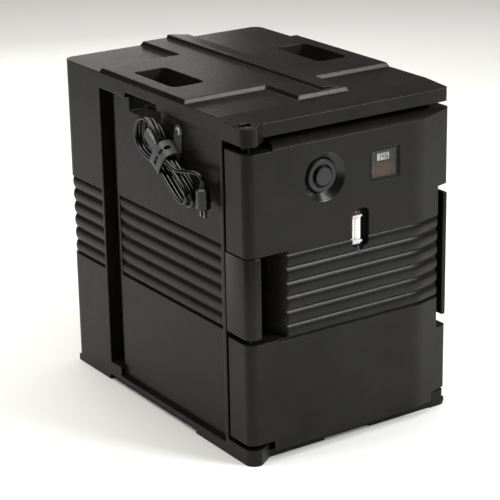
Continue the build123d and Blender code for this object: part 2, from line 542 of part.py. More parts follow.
# ---------------------------------------------------------------- digital thermometer
with BuildPart() as dial_case:
    block((DIAL_X - DIAL_HALF_X, DIAL_X + DIAL_HALF_X), (DIAL_FRONT, FRONT + 14),
          (DIAL_Z - DIAL_HALF_Z, DIAL_Z + DIAL_HALF_Z))
    chamfer(dial_case.edges().group_by(Axis.Y)[0], 1.0)
    block((DIAL_X - GLASS_HALF_X, DIAL_X + GLASS_HALF_X), (FRONT - 1, FRONT + 2.4),
          (DIAL_Z - GLASS_HALF_Z, DIAL_Z + GLASS_HALF_Z), mode=Mode.SUBTRACT)
    block((DIAL_X - BOARD_HALF_X, DIAL_X + BOARD_HALF_X), (FRONT + 2, FRONT + 12),
          (DIAL_Z - BOARD_HALF_Z, DIAL_Z + BOARD_HALF_Z), mode=Mode.SUBTRACT)
    along_y(DIAL_X, (FRONT + 11, FRONT + 15), DIAL_Z, 2.1, mode=Mode.SUBTRACT)

with BuildPart() as dial_window:
    block((DIAL_X - GLASS_HALF_X, DIAL_X + GLASS_HALF_X), (FRONT + 1.2, FRONT + 2.4),
          (DIAL_Z - GLASS_HALF_Z, DIAL_Z + GLASS_HALF_Z))

with BuildPart() as dial_board:
    block((DIAL_X - BOARD_HALF_X, DIAL_X + BOARD_HALF_X), (FRONT + 6.4, FRONT + 8),
          (DIAL_Z - BOARD_HALF_Z, DIAL_Z + BOARD_HALF_Z))

with BuildPart() as lcd_panel:
    block((LCD_X - 15, LCD_X + 15), (FRONT + 3, FRONT + 6.4), (LCD_Z - 8, LCD_Z + 8))

with BuildPart() as solar_cell:
    block((CELL_X - 26, CELL_X + 26), (FRONT + 3.4, FRONT + 6.4), (CELL_Z - 12.5, CELL_Z + 12.5))

with BuildPart() as probe_rod:
    along_y(DIAL_X, (FRONT + 8, DOOR_BACK + 1), DIAL_Z, 2.0)

# ---------------------------------------------------------------- liquid thermometer
with BuildPart() as gauge_card:
    block((CARD_X - CARD_HALF, CARD_X + CARD_HALF), (FRONT + 10, FRONT + 14),
          (TUBE_BOTTOM - 3, TUBE_TOP - 5))

with BuildPart() as gauge_tube:
    with Locations((CARD_X, FRONT + 8.2, (TUBE_BOTTOM + TUBE_TOP) / 2)):
        Cylinder(1.8, TUBE_TOP - TUBE_BOTTOM)
    fillet(gauge_tube.edges(), 1.2)

with BuildPart() as gauge_clips:
    for z in (TUBE_BOTTOM + 4, TUBE_TOP - 12):
        block((CARD_X - CARD_HALF, CARD_X + CARD_HALF), (FRONT + 4.6, FRONT + 6), (z - 2, z + 2))
        for x in (CARD_X - CARD_HALF, CARD_X + CARD_HALF - 2):
            block((x, x + 2), (FRONT + 4.6, FRONT + 10), (z - 2, z + 2))

# ---------------------------------------------------------------- heater behind the liner
with BuildPart() as heater_pad:
    block((-HEATER_X + 6, HEATER_X - 6), (HEATER_SEAT, HEATER_SEAT + 2),
          (HEATER_Z[0] + 6, HEATER_Z[1] - 6))

with BuildPart() as heater_plate:
    block((-HEATER_X + 0.5, HEATER_X - 0.5), (HEATER_SEAT + 2, HEATER_SEAT + 3.5),
          (HEATER_Z[0] + 0.5, HEATER_Z[1] - 0.5))
    fillet(heater_plate.edges().filter_by(Axis.Y), 8)
    with BuildSketch(Plane.XZ.offset(-HEATER_SEAT)) as screw_holes:
        with Locations((0, HEATER_MIDDLE)):
            with GridLocations(2 * HEATER_SCREW_X, HEATER_SCREW_PITCH, 2, 3):
                Circle(2.4)
    extrude(screw_holes.sketch, amount=-5, mode=Mode.SUBTRACT)

with BuildPart() as heater_screws:
    for x in (-HEATER_SCREW_X, HEATER_SCREW_X):
        for row in (-1, 0, 1):
            z = HEATER_MIDDLE + row * HEATER_SCREW_PITCH
            along_y(x, (HEATER_SEAT + 3.5, HEATER_SEAT + 5.5), z, 4.2)
            along_y(x, (HEATER_SEAT + 2, HEATER_SEAT + 4), z, 2.3)

with BuildPart() as door_gasket:
    gasket_band(DOOR_BACK - GASKET_SUNK, RIM - 0.4)

with BuildPart() as thermostat:
    along_y(THERMOSTAT_X, (CONTROL_BACK - 12, CONTROL_BACK), CONTROL_Z, 9)
    block((THERMOSTAT_X - 3, THERMOSTAT_X + 3), (CONTROL_BACK - 17, CONTROL_BACK - 11),
          (CONTROL_Z - 6, CONTROL_Z + 6))

with BuildPart() as thermal_cutoff:
    along_y(CUTOFF_X, (CONTROL_BACK - 9, CONTROL_BACK), CONTROL_Z, 8)
    block((CUTOFF_X - 3, CUTOFF_X + 3), (CONTROL_BACK - 13, CONTROL_BACK - 8),
          (CONTROL_Z - 5, CONTROL_Z + 5))

# ---------------------------------------------------------------- power inlet
with BuildPart() as power_inlet:
    block((RIGHT - 3, RIGHT - 0.5), (INLET_Y - 13.8, INLET_Y + 13.8),
          (INLET_Z - 23.8, INLET_Z + 23.8))
    block((INLET_BACK, RIGHT - 2), (INLET_Y - 10.8, INLET_Y + 10.8),
          (INLET_Z - 14.8, INLET_Z + 14.8))
    block((INLET_BACK + 4, RIGHT + 1), (INLET_Y - 8, INLET_Y + 8), (INLET_Z - 12, INLET_Z + 12),
          mode=Mode.SUBTRACT)

with BuildPart() as inlet_pins:
    for y, z in ((INLET_Y - 2, INLET_Z - PIN_SPREAD), (INLET_Y - 2, INLET_Z + PIN_SPREAD),
                 (INLET_Y + 2, INLET_Z)):
        block((INLET_BACK + 4, RIGHT - 6), (y - 2, y + 2), (z - 1, z + 1))

with BuildPart() as inlet_screws:
    for z in (INLET_Z - 19.5, INLET_Z + 19.5):
        along_x((RIGHT - 0.5, RIGHT), INLET_Y, z, 3.2)


def lead(points):
    """An insulated wire along straight runs and round bends."""
    with BuildPart() as wire:
        with BuildLine() as run:
            FilletPolyline(*points, radius=6)
        start = Plane(origin=run.wire() @ 0, z_dir=run.wire() % 0)
        with BuildSketch(start) as section:
            Circle(LEAD_RADIUS)
        sweep(section.sketch, path=run.wire())
    return wire.part


leads = Compound(children=[
    lead([(INLET_BACK, LEAD_Y, INLET_Z - 8), (CUTOFF_X, LEAD_Y, INLET_Z - 8),
          (CUTOFF_X, LEAD_Y, CONTROL_Z - 9.5)]),
    lead([(INLET_BACK, LEAD_Y, INLET_Z + 8), (INLET_BACK - 30, LEAD_Y, INLET_Z + 8),
          (INLET_BACK - 30, LEAD_Y, CONTROL_Z + 18), (66, LEAD_Y, CONTROL_Z + 18),
          (66, LEAD_Y, CONTROL_Z - 4)]),
])

# ---------------------------------------------------------------- latch
with BuildPart() as latch_handle:
    prism([(NOSE, FRONT + 14), (ARM_OUT, FRONT + 14), (ARM_OUT, ROD_Y), (ARM_IN, ROD_Y),
           (ARM_IN, FRONT + 34), (NOSE, FRONT + 33)], (LATCH_BOTTOM, LATCH_TOP),
          rounds=[(ARM_OUT, FRONT + 14, 3), (NOSE, FRONT + 14, 2.5)])
    upright(ROD_X, ROD_Y, (LATCH_BOTTOM, LATCH_TOP), 6.5)
    upright(ROD_X, ROD_Y, (LATCH_BOTTOM - 1, LATCH_TOP + 1), ROD_RADIUS + PIN_FIT,
            mode=Mode.SUBTRACT)

with BuildPart() as latch_rod:
    upright(ROD_X, ROD_Y, (LATCH_BOTTOM - 14, LATCH_TOP + 14), ROD_RADIUS)
    chamfer(latch_rod.edges().filter_by(GeomType.CIRCLE), 0.6)

brackets = {}
for bracket_name, span in (("latch_bracket_upper", (LATCH_TOP + 1, LATCH_TOP + 14)),
                           ("latch_bracket_lower", (LATCH_BOTTOM - 14, LATCH_BOTTOM - 1))):
    with BuildPart() as bracket:
        block((BRACKET_FOOT, RIGHT - 2), (ROD_Y - 9, ROD_Y + 9), span)
        block((BRACKET_FOOT, BRACKET_FOOT + 5), (ROD_Y - 9, ROD_Y + 22), span)
        upright(ROD_X, ROD_Y, (span[0] - 1, span[1] + 1), ROD_RADIUS, mode=Mode.SUBTRACT)
        along_x((BRACKET_FOOT - 1, BRACKET_FOOT + 6), BRACKET_SCREW_Y, sum(span) / 2, 2.2,
                mode=Mode.SUBTRACT)
    brackets[bracket_name] = bracket.part

with BuildPart() as bracket_screws:
    for z in BRACKET_SCREW_Z:
        along_x((BRACKET_FOOT + 5, BRACKET_FOOT + 8), BRACKET_SCREW_Y, z, 4.2)
        along_x((BRACKET_FOOT, BRACKET_FOOT + 6), BRACKET_SCREW_Y, z, 2.2)

# ---------------------------------------------------------------- cord set and its strap
def on_side(x):
    """A plane facing out of the left side: its local X runs down the hank."""
    lean = radians(HANK_ANGLE)
    return Plane(origin=(x, HANK_Y, HANK_Z), x_dir=(0, -cos(lean), -sin(lean)), z_dir=(-1, 0, 0))


with BuildPart() as cord_hank:
    with BuildSketch(on_side(HANK_IN)) as hank_outline:
        SlotOverall(HANK_LONG, HANK_WIDE)
        with Locations((CONNECTOR_ALONG, 0)):
            RectangleRounded(CONNECTOR_LONG + 2, CONNECTOR_WIDE + 2, 6, mode=Mode.SUBTRACT)
    extrude(hank_outline.sketch, amount=HANK_THICK)

with BuildPart() as cord_connector:
    with BuildSketch(on_side(HANK_IN - 6)) as connector_outline:
        with Locations((CONNECTOR_ALONG, 0)):
            RectangleRounded(CONNECTOR_LONG, CONNECTOR_WIDE, 4)
    extrude(connector_outline.sketch, amount=CONNECTOR_THICK)
    chamfer(cord_connector.faces().sort_by(Axis.X)[0].edges(), 3)

with BuildPart() as cord_plug:
    bend_middle = (HANK_LONG - HANK_WIDE) / 2
    plug_y, plug_z = hank_point(bend_middle + PLUG_OUT * cos(PLUG_ROUND),
                                PLUG_OUT * sin(PLUG_ROUND))
    plug_lean = radians(HANK_ANGLE) - PLUG_ROUND
    plug_base = Plane(origin=(HANK_IN - HANK_THICK / 2, plug_y, plug_z),
                      x_dir=(1, 0, 0), z_dir=(0, -sin(plug_lean), cos(plug_lean)))
    with BuildSketch(plug_base.offset(-PLUG_LONG / 2)):
        Circle(PLUG_RADIUS)
    extrude(amount=PLUG_LONG)
    chamfer(cord_plug.edges().filter_by(GeomType.CIRCLE), 3)

with BuildPart() as cord_strap:
    with BuildSketch(on_side(STRAP_BACK)) as strap_outline:
        with Locations((STRAP_ALONG, 0)):
            Rectangle(STRAP_WIDE, HANK_WIDE + 2 * STRAP_THICK + 1)
    extrude(strap_outline.sketch, amount=HANK_THICK + 2 * STRAP_THICK + 1)
    with BuildSketch(on_side(STRAP_FACE)) as strap_inside:
        with Locations((STRAP_ALONG, 0)):
            Rectangle(STRAP_WIDE + 2, HANK_WIDE + 1)
    extrude(strap_inside.sketch, amount=HANK_THICK + 1, mode=Mode.SUBTRACT)
    with BuildSketch(on_side(STRAP_BACK)) as strap_tab:
        with Locations((EYELET_ALONG, EYELET_ACROSS)):
            Circle(12)
    extrude(strap_tab.sketch, amount=STRAP_THICK)
    along_x((STRAP_FACE - 1, PANEL + 1), EYELET_Y, EYELET_Z, STRAP_HOLE, mode=Mode.SUBTRACT)

with BuildPart() as strap_eyelet:
    along_x((STRAP_FACE - 1.2, STRAP_FACE), EYELET_Y, EYELET_Z, EYELET_RADIUS)
    along_x((STRAP_FACE - 0.2, PANEL), EYELET_Y, EYELET_Z, STRAP_HOLE)
    along_x((STRAP_FACE - 2, PANEL + 1), EYELET_Y, EYELET_Z, SCREW_RADIUS, mode=Mode.SUBTRACT)

with BuildPart() as strap_screw:
    along_x((STRAP_FACE - 3.6, STRAP_FACE - 1.2), EYELET_Y, EYELET_Z, 5)
    along_x((STRAP_FACE - 2, PANEL + SCREW_DEEP), EYELET_Y, EYELET_Z, SCREW_RADIUS)

# ---------------------------------------------------------------- export
pieces = {
    "body_shell": body_shell.part, "body_foam": body_foam.part, "hinge_post": hinge_post.part,
    "upper_hinge_pin": upper_hinge_pin.part, "lower_hinge_pin": lower_hinge_pin.part,
    "middle_hinge_pin": middle_hinge_pin.part, "upper_spacer": upper_spacer.part,
    "lower_spacer": lower_spacer.part, "door_shell": door_shell.part,
    "door_foam": door_foam.part, "door_gasket": door_gasket.part, "vent_ring": vent_ring.part,
    "vent_cap": vent_cap.part, "dial_case": dial_case.part, "dial_window": dial_window.part,
    "dial_board": dial_board.part, "lcd_panel": lcd_panel.part, "solar_cell": solar_cell.part,
    "probe_rod": probe_rod.part, "gauge_card": gauge_card.part, "gauge_tube": gauge_tube.part,
    "gauge_clips": gauge_clips.part, "heater_pad": heater_pad.part,
    "heater_plate": heater_plate.part, "heater_screws": heater_screws.part,
    "thermostat": thermostat.part, "thermal_cutoff": thermal_cutoff.part,
    "power_inlet": power_inlet.part, "inlet_pins": inlet_pins.part,
    "inlet_screws": inlet_screws.part, "heater_leads": leads,
    "latch_handle": latch_handle.part, "latch_rod": latch_rod.part,
    "bracket_screws": bracket_screws.part, "cord_strap": cord_strap.part,
    "strap_eyelet": strap_eyelet.part, "strap_screw": strap_screw.part,
    "cord_hank": cord_hank.part, "cord_plug": cord_plug.part,
    "cord_connector": cord_connector.part, **bushes, **brackets,
}
for name, piece in pieces.items():
    piece.label = name
    export_step(piece, f"parts/{name}.step")
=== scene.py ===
"""Finished surfaces, cord and materials of a heated pan carrier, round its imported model.

Metres throughout: X runs to the right of the door, the door faces -Y and +Z is up.
"""
import json
from math import cos, pi, radians, sin

import bmesh
import bpy
import numpy as np
from mathutils import Matrix, Vector


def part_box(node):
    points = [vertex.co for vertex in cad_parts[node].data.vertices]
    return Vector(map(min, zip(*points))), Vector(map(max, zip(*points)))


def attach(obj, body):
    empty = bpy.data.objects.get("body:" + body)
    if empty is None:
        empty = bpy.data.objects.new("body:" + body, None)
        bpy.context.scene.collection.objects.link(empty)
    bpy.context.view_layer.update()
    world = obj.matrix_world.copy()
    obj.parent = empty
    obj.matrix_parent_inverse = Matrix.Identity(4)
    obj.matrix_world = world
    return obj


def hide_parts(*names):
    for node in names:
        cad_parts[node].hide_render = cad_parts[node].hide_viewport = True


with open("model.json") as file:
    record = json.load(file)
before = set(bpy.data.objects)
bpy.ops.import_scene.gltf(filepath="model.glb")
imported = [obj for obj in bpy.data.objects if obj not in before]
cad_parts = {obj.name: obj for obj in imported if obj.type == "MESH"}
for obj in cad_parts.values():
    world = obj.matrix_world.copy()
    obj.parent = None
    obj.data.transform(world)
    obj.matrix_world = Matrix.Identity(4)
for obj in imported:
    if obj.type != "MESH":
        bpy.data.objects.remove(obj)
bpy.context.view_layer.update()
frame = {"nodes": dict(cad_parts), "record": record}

MM = 0.001


# ---------------------------------------------------------------- camera, floor and light
CAMERA_AT = (-1.9354, -2.9050, 1.5058)
CAMERA_AZIMUTH, CAMERA_DOWN, CAMERA_ROLL = radians(33.51), radians(19.33), radians(-1.07)
CAMERA_LENS, CAMERA_SENSOR = 135.3, 36.0


def set_camera():
    """Looks down at the hinge-side corner: azimuth from +Y towards +X, then down, then roll."""
    ahead = Vector((sin(CAMERA_AZIMUTH) * cos(CAMERA_DOWN),
                    cos(CAMERA_AZIMUTH) * cos(CAMERA_DOWN), -sin(CAMERA_DOWN)))
    level = Vector((cos(CAMERA_AZIMUTH), -sin(CAMERA_AZIMUTH), 0))
    above = level.cross(ahead)
    across = level * cos(CAMERA_ROLL) + above * sin(CAMERA_ROLL)
    upright = above * cos(CAMERA_ROLL) - level * sin(CAMERA_ROLL)
    data = bpy.data.cameras.new("camera")
    data.lens, data.sensor_width = CAMERA_LENS, CAMERA_SENSOR
    data.clip_start, data.clip_end = 0.1, 100
    camera = bpy.data.objects.new("camera", data)
    bpy.context.scene.collection.objects.link(camera)
    camera.matrix_world = Matrix((
        (across.x, upright.x, -ahead.x, CAMERA_AT[0]), (across.y, upright.y, -ahead.y, CAMERA_AT[1]),
        (across.z, upright.z, -ahead.z, CAMERA_AT[2]), (0, 0, 0, 1)))
    bpy.context.scene.camera = camera


def softbox(name, place, aim, width, height, power, colour=(1, 1, 1)):
    """A rectangular studio light at place, turned towards aim."""
    data = bpy.data.lights.new(name, "AREA")
    data.shape, data.size, data.size_y = "RECTANGLE", width, height
    data.energy, data.color = power, colour
    light = bpy.data.objects.new(name, data)
    bpy.context.scene.collection.objects.link(light)
    light.location = place
    light.rotation_mode = "QUATERNION"
    light.rotation_quaternion = (Vector(aim) - Vector(place)).to_track_quat("-Z", "Y")


def set_light():
    """Broad light overhead, a key in front on the right, and two small ones.

    The small ones are a low strip behind, which the roof mirrors, and a lamp high on the left.
    """
    world = bpy.data.worlds.new("studio")
    world.use_nodes = True
    surround = world.node_tree.nodes["Background"]
    surround.inputs["Color"].default_value = (1.0, 0.98, 0.94, 1)
    surround.inputs["Strength"].default_value = 0.10
    bpy.context.scene.world = world
    bpy.context.scene.view_settings.view_transform = "Standard"
    softbox("overhead", (-0.2, 0.7, 3.4), (0, 0.5, 0), 4.4, 4.4, 185, (1.0, 0.985, 0.955))
    softbox("key", (1.78, -2.77, 2.37), (0, 0, 0.5), 1.4, 1.4, 150, (0.97, 0.985, 1.0))
    softbox("roof_strip", (0.95, 2.95, 0.98), (-0.1, 0.2, 0.65), 1.5, 0.8, 6.5, (1.0, 0.985, 0.94))
    softbox("left_high", (-2.1, 0.15, 2.75), (-0.25, 0, 0.5), 0.5, 0.5, 12)


set_camera()
set_light()


# ---------------------------------------------------------------- material helpers
def linear(hex_colour):
    """An sRGB hex colour as linear red, green, blue and alpha."""
    share = [int(hex_colour[i:i + 2], 16) / 255 for i in (1, 3, 5)]
    return tuple(c / 12.92 if c <= 0.04045 else ((c + 0.055) / 1.055) ** 2.4 for c in share) + (1.0,)


def add_node(tree, kind, inputs=None, **settings):
    """A node with its settings; an input takes a value, or another node's socket."""
    node = tree.nodes.new(kind)
    for key, value in settings.items():
        setattr(node, key, value)
    for key, value in (inputs or {}).items():
        if isinstance(value, bpy.types.NodeSocket):
            tree.links.new(value, node.inputs[key])
        else:
            node.inputs[key].default_value = value
    return node


def new_material(name, **shader_values):
    """A material with its Principled shader's constant values, its tree and shader."""
    material = bpy.data.materials.new(name)
    material.use_nodes = True
    tree = material.node_tree
    shader = tree.nodes["Principled BSDF"]
    for key, value in shader_values.items():
        shader.inputs[key.replace("_", " ")].default_value = value
    return material, tree, shader


def per_metre(size_mm):
    """Noise scale that gives features of about this size in millimetres."""
    return 1000.0 / size_mm


def grained(name, colour, worn, roughness, grain_mm, grain_depth_mm, wave_mm=0.0, wave_depth_mm=0.0,
            spread=0.08, edge_mm=0.0, **shader_values):
    """A moulded surface: a fine grain and a slow waviness in height, and patchy gloss and colour.

    worn is the colour that broad patches drift towards, spread is how far roughness drifts, and
    edge_mm softens the shading of sharp edges over that radius.
    """
    material, tree, shader = new_material(name, **shader_values)
    place = add_node(tree, "ShaderNodeTexCoord").outputs["Object"]
    grain = add_node(tree, "ShaderNodeTexNoise", {
        "Vector": place, "Scale": per_metre(grain_mm), "Detail": 3.0, "Roughness": 0.6})
    patches = add_node(tree, "ShaderNodeTexNoise", {
        "Vector": place, "Scale": per_metre(90.0), "Detail": 4.0, "Roughness": 0.55})
    drift = add_node(tree, "ShaderNodeMapRange", {
        "Value": patches.outputs["Fac"], "From Min": 0.35, "From Max": 0.7})
    shade = add_node(tree, "ShaderNodeMix", {
        0: drift.outputs["Result"], 6: linear(colour), 7: linear(worn)}, data_type="RGBA")
    tree.links.new(shade.outputs[2], shader.inputs["Base Color"])
    speckle = add_node(tree, "ShaderNodeMapRange", {
        "Value": grain.outputs["Fac"], "From Min": 0.3, "From Max": 0.7,
        "To Min": roughness - spread, "To Max": roughness + spread})
    tree.links.new(speckle.outputs["Result"], shader.inputs["Roughness"])
    bump = add_node(tree, "ShaderNodeBump", {
        "Height": grain.outputs["Fac"], "Strength": 1.0, "Distance": grain_depth_mm * MM})
    lowest = bump
    if wave_mm:
        wave = add_node(tree, "ShaderNodeTexNoise", {
            "Vector": place, "Scale": per_metre(wave_mm), "Detail": 1.0})
        under = add_node(tree, "ShaderNodeBump", {
            "Height": wave.outputs["Fac"], "Strength": 1.0, "Distance": wave_depth_mm * MM})
        tree.links.new(under.outputs["Normal"], bump.inputs["Normal"])
        lowest = under
    if edge_mm:
        edge = add_node(tree, "ShaderNodeBevel", {"Radius": edge_mm * MM}, samples=8)
        tree.links.new(edge.outputs["Normal"], lowest.inputs["Normal"])
    tree.links.new(bump.outputs["Normal"], shader.inputs["Normal"])
    return material


# ---------------------------------------------------------------- materials
def make_materials():
    """Every finish, by the record's slot name."""
    made = {}
    # Rotationally moulded polyethylene, carbon black: a leathery grain about 1 mm wide, drawn at
    # 3 mm so that it shows, a slow waviness from cooling, and a soft satin gloss.
    made["shell"] = grained("rotomoulded_polyethylene", "#11100E", "#191815", 0.31, 3.0, 0.10,
                            38.0, 0.25, spread=0.06, edge_mm=2.5, Specular_IOR_Level=0.15)
    # The same polyethylene against a polished part of its mould, in the vent's dish, with a darker
    # colour painted in as shade in that recess.
    made["polished_shell"] = grained("polished_polyethylene_painted_shade", "#070707", "#0A0A0A", 0.24, 6.0, 0.04,
                                     spread=0.04, edge_mm=2.0, Specular_IOR_Level=0.4)
    # Injection-moulded nylon: smoother and a little glossier than the shells.
    made["nylon"] = grained("moulded_nylon", "#0C0C0C", "#121212", 0.34, 2.0, 0.05,
                            edge_mm=1.5, Specular_IOR_Level=0.18)
    # Zinc-plated steel: bright, with a faint crystalline mottling.
    made["zinc_steel"] = grained("zinc_plated_steel", "#C9C8C2", "#A8A79F", 0.30, 4.0, 0.02,
                                 Metallic=1.0)
    # PVC cord jacket: glossy black, almost without texture.
    made["cord_jacket"] = grained("pvc_cord_jacket", "#070707", "#0C0C0C", 0.20, 6.0, 0.03,
                                  spread=0.05, Specular_IOR_Level=0.5)
    # Moulded EPDM rubber strap: grey, matt, with dusty patches.
    made["strap_rubber"] = grained("epdm_rubber", "#464643", "#545450", 0.50, 2.2, 0.06,
                                   Specular_IOR_Level=0.4)
    # Silicone gasket and heater mat: grey and matt.
    made["silicone"] = grained("silicone_rubber", "#6A6966", "#77756F", 0.60, 3.0, 0.05,
                               Specular_IOR_Level=0.35, IOR=1.43)
    # Injection-moulded ABS trim: fine spark-eroded texture, satin.
    made["trim_plastic"] = grained("abs_trim", "#171717", "#1E1E1E", 0.34, 1.6, 0.05,
                                   edge_mm=0.8, Specular_IOR_Level=0.35)
    # Polished ABS bezel: mirror-smooth black.
    made["gloss_trim"] = grained("polished_abs", "#060606", "#090909", 0.14, 12.0, 0.01,
                                 spread=0.03, edge_mm=1.2, Specular_IOR_Level=0.12)
    # Satin nickel of the eyelet: a pale, half-diffuse colour as painted sheen, so it looks lit from
    # every side alike.
    made["satin_nickel_painted_sheen"] = grained("satin_nickel_painted_sheen", "#E6E8DE", "#D4D6CC", 0.35, 3.0, 0.02,
                                   Metallic=0.35)
    # Screen-printed mask behind the thermometer's window: dark grey-green ink.
    made["mask_ink"] = grained("screen_printed_mask", "#23271F", "#2A2E27", 0.45, 2.0, 0.02)
    # Liquid crystal segments switched on.
    made["segments"] = grained("liquid_crystal_segments", "#1C211C", "#242A24", 0.40, 4.0, 0.01)
    # Rigid polyurethane foam, hidden between the skins.
    made["foam"] = grained("polyurethane_foam", "#D8C78F", "#C9B477", 0.85, 2.5, 0.30)
    # Anodised aluminium heater plate with a rolled grain.
    made["plate_aluminium"] = rolled_aluminium()
    # Tinned brass inlet pins.
    made["brass_pins"] = grained("tinned_brass", "#D9CFA8", "#BDAE7C", 0.25, 5.0, 0.02, Metallic=1.0)
    # Glass-epoxy circuit board, green solder mask.
    made["board"] = grained("glass_epoxy_board", "#14401F", "#18502A", 0.40, 1.5, 0.03)
    # Liquid crystal glass: grey-green reflective layer.
    made["lcd"] = grained("liquid_crystal_glass", "#C9D0C4", "#BEC5B9", 0.25, 8.0, 0.01, spread=0.03,
                          Specular_IOR_Level=0.2)
    # Amorphous silicon cell: red-brown film behind glass with fine dark gaps between its strips.
    made["solar"] = silicon_film()
    # Printed scale card: white stock with ruled marks and a dark red cap at the hot end.
    made["card"] = scale_card()
    # Drawn borosilicate glass: clear, with a sharp highlight along the tube.
    made["tube_glass"] = drawn_glass()
    # Thin acrylic window: nearly all see-through, with a little gloss of its own.
    made["clear_cover"] = grained("acrylic_window", "#0B0D0B", "#101210", 0.08, 20.0, 0.01,
                                  spread=0.03, Alpha=0.14)
    return made


def rolled_aluminium():
    """Satin aluminium sheet: long scratches along X, 0.8 mm apart, drawn over 60 mm."""
    material, tree, shader = new_material("satin_aluminium", Metallic=1.0)
    place = add_node(tree, "ShaderNodeTexCoord").outputs["Object"]
    stretch = add_node(tree, "ShaderNodeMapping", {
        "Vector": place, "Scale": (per_metre(60.0), per_metre(60.0), per_metre(0.8))})
    lines = add_node(tree, "ShaderNodeTexNoise", {
        "Vector": stretch.outputs["Vector"], "Scale": 1.0, "Detail": 3.0})
    shade = add_node(tree, "ShaderNodeMix", {
        0: lines.outputs["Fac"], 6: linear("#B9BABA"), 7: linear("#D5D6D6")}, data_type="RGBA")
    tree.links.new(shade.outputs[2], shader.inputs["Base Color"])
    gloss = add_node(tree, "ShaderNodeMapRange", {
        "Value": lines.outputs["Fac"], "To Min": 0.24, "To Max": 0.42})
    tree.links.new(gloss.outputs["Result"], shader.inputs["Roughness"])
    bump = add_node(tree, "ShaderNodeBump", {
        "Height": lines.outputs["Fac"], "Distance": 0.02 * MM})
    tree.links.new(bump.outputs["Normal"], shader.inputs["Normal"])
    return material


def silicon_film():
    """Red-brown film cut into six cells along X by dark gaps 0.6 mm wide."""
    material, tree, shader = new_material("amorphous_silicon_film", Roughness=0.22,
                                          Specular_IOR_Level=0.25)
    low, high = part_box("solar_cell")
    place = add_node(tree, "ShaderNodeTexCoord").outputs["Object"]
    across = add_node(tree, "ShaderNodeSeparateXYZ", {"Vector": place}).outputs["X"]
    start = add_node(tree, "ShaderNodeMath", {0: across, 1: low.x}, operation="SUBTRACT")
    pitch = (high.x - low.x) / 6
    share = add_node(tree, "ShaderNodeMath", {0: start.outputs[0], 1: pitch}, operation="DIVIDE")
    part = add_node(tree, "ShaderNodeMath", {0: share.outputs[0]}, operation="FRACT")
    gap = add_node(tree, "ShaderNodeMath", {0: part.outputs[0], 1: 0.6 * MM / pitch},
                   operation="LESS_THAN")
    cloud = add_node(tree, "ShaderNodeTexNoise", {"Vector": place, "Scale": per_metre(14.0)})
    film = add_node(tree, "ShaderNodeMix", {
        0: cloud.outputs["Fac"], 6: linear("#4A3428"), 7: linear("#60483A")}, data_type="RGBA")
    shade = add_node(tree, "ShaderNodeMix", {
        0: gap.outputs[0], 6: film.outputs[2], 7: linear("#2E211B")}, data_type="RGBA")
    tree.links.new(shade.outputs[2], shader.inputs["Base Color"])
    return material


def scale_card():
    """White card: marks every 3 mm on its left third, and a dark red band over its top 9 mm."""
    material, tree, shader = new_material("printed_scale_card", Roughness=0.45)
    low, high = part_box("gauge_card")
    place = add_node(tree, "ShaderNodeTexCoord").outputs["Object"]
    axes = add_node(tree, "ShaderNodeSeparateXYZ", {"Vector": place})
    rise = add_node(tree, "ShaderNodeMath", {0: axes.outputs["Z"], 1: low.z}, operation="SUBTRACT")
    steps = add_node(tree, "ShaderNodeMath", {0: rise.outputs[0], 1: 3.0 * MM}, operation="DIVIDE")
    part = add_node(tree, "ShaderNodeMath", {0: steps.outputs[0]}, operation="FRACT")
    line = add_node(tree, "ShaderNodeMath", {0: part.outputs[0], 1: 0.28}, operation="LESS_THAN")
    left = add_node(tree, "ShaderNodeMath", {0: axes.outputs["X"], 1: low.x + 5.5 * MM},
                    operation="LESS_THAN")
    mark = add_node(tree, "ShaderNodeMath", {0: line.outputs[0], 1: left.outputs[0]},
                    operation="MULTIPLY")
    hot = add_node(tree, "ShaderNodeMath", {0: axes.outputs["Z"], 1: high.z - 9.0 * MM},
                   operation="GREATER_THAN")
    fibre = add_node(tree, "ShaderNodeTexNoise", {"Vector": place, "Scale": per_metre(4.0)})
    stock = add_node(tree, "ShaderNodeMix", {
        0: fibre.outputs["Fac"], 6: linear("#E2E2DE"), 7: linear("#F4F4F1")}, data_type="RGBA")
    marked = add_node(tree, "ShaderNodeMix", {
        0: mark.outputs[0], 6: stock.outputs[2], 7: linear("#5A5A58")}, data_type="RGBA")
    capped = add_node(tree, "ShaderNodeMix", {
        0: hot.outputs[0], 6: marked.outputs[2], 7: linear("#4A1114")}, data_type="RGBA")
    tree.links.new(capped.outputs[2], shader.inputs["Base Color"])
    return material


def drawn_glass():
    """Clear glass with faint smears 20 mm wide in its gloss."""
    material, tree, shader = new_material("borosilicate_tube", IOR=1.47, Specular_IOR_Level=0.15,
                                          Transmission_Weight=1.0, Base_Color=linear("#F4F6F2"))
    place = add_node(tree, "ShaderNodeTexCoord").outputs["Object"]
    smear = add_node(tree, "ShaderNodeTexNoise", {"Vector": place, "Scale": per_metre(20.0)})
    gloss = add_node(tree, "ShaderNodeMapRange", {
        "Value": smear.outputs["Fac"], "To Min": 0.01, "To Max": 0.03})
    tree.links.new(gloss.outputs["Result"], shader.inputs["Roughness"])
    return material


# ---------------------------------------------------------------- mesh helpers
def mesh_object(name, points, faces, material, body):
    """A finished piece from arrays of points in metres and of faces, riding on a body."""
    mesh = bpy.data.meshes.new(name)
    mesh.from_pydata(np.asarray(points, float).tolist(), [], np.asarray(faces).tolist())
    mesh.validate()
    mesh.materials.append(material)
    piece = bpy.data.objects.new(name, mesh)
    bpy.context.scene.collection.objects.link(piece)
    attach(piece, body)
    return piece


def smooth(mesh, degrees):
    """Smooth shading, with edges sharper than this left crisp."""
    mesh.shade_smooth()
    mesh.set_sharp_from_angle(angle=radians(degrees))


SEAT_CLEARANCE = 4 * MM
MERGE_WITHIN, FLAT_DEGREES, CREASE_DEGREES = 2e-6, 0.6, 25
ROUNDING_STEPS = 3


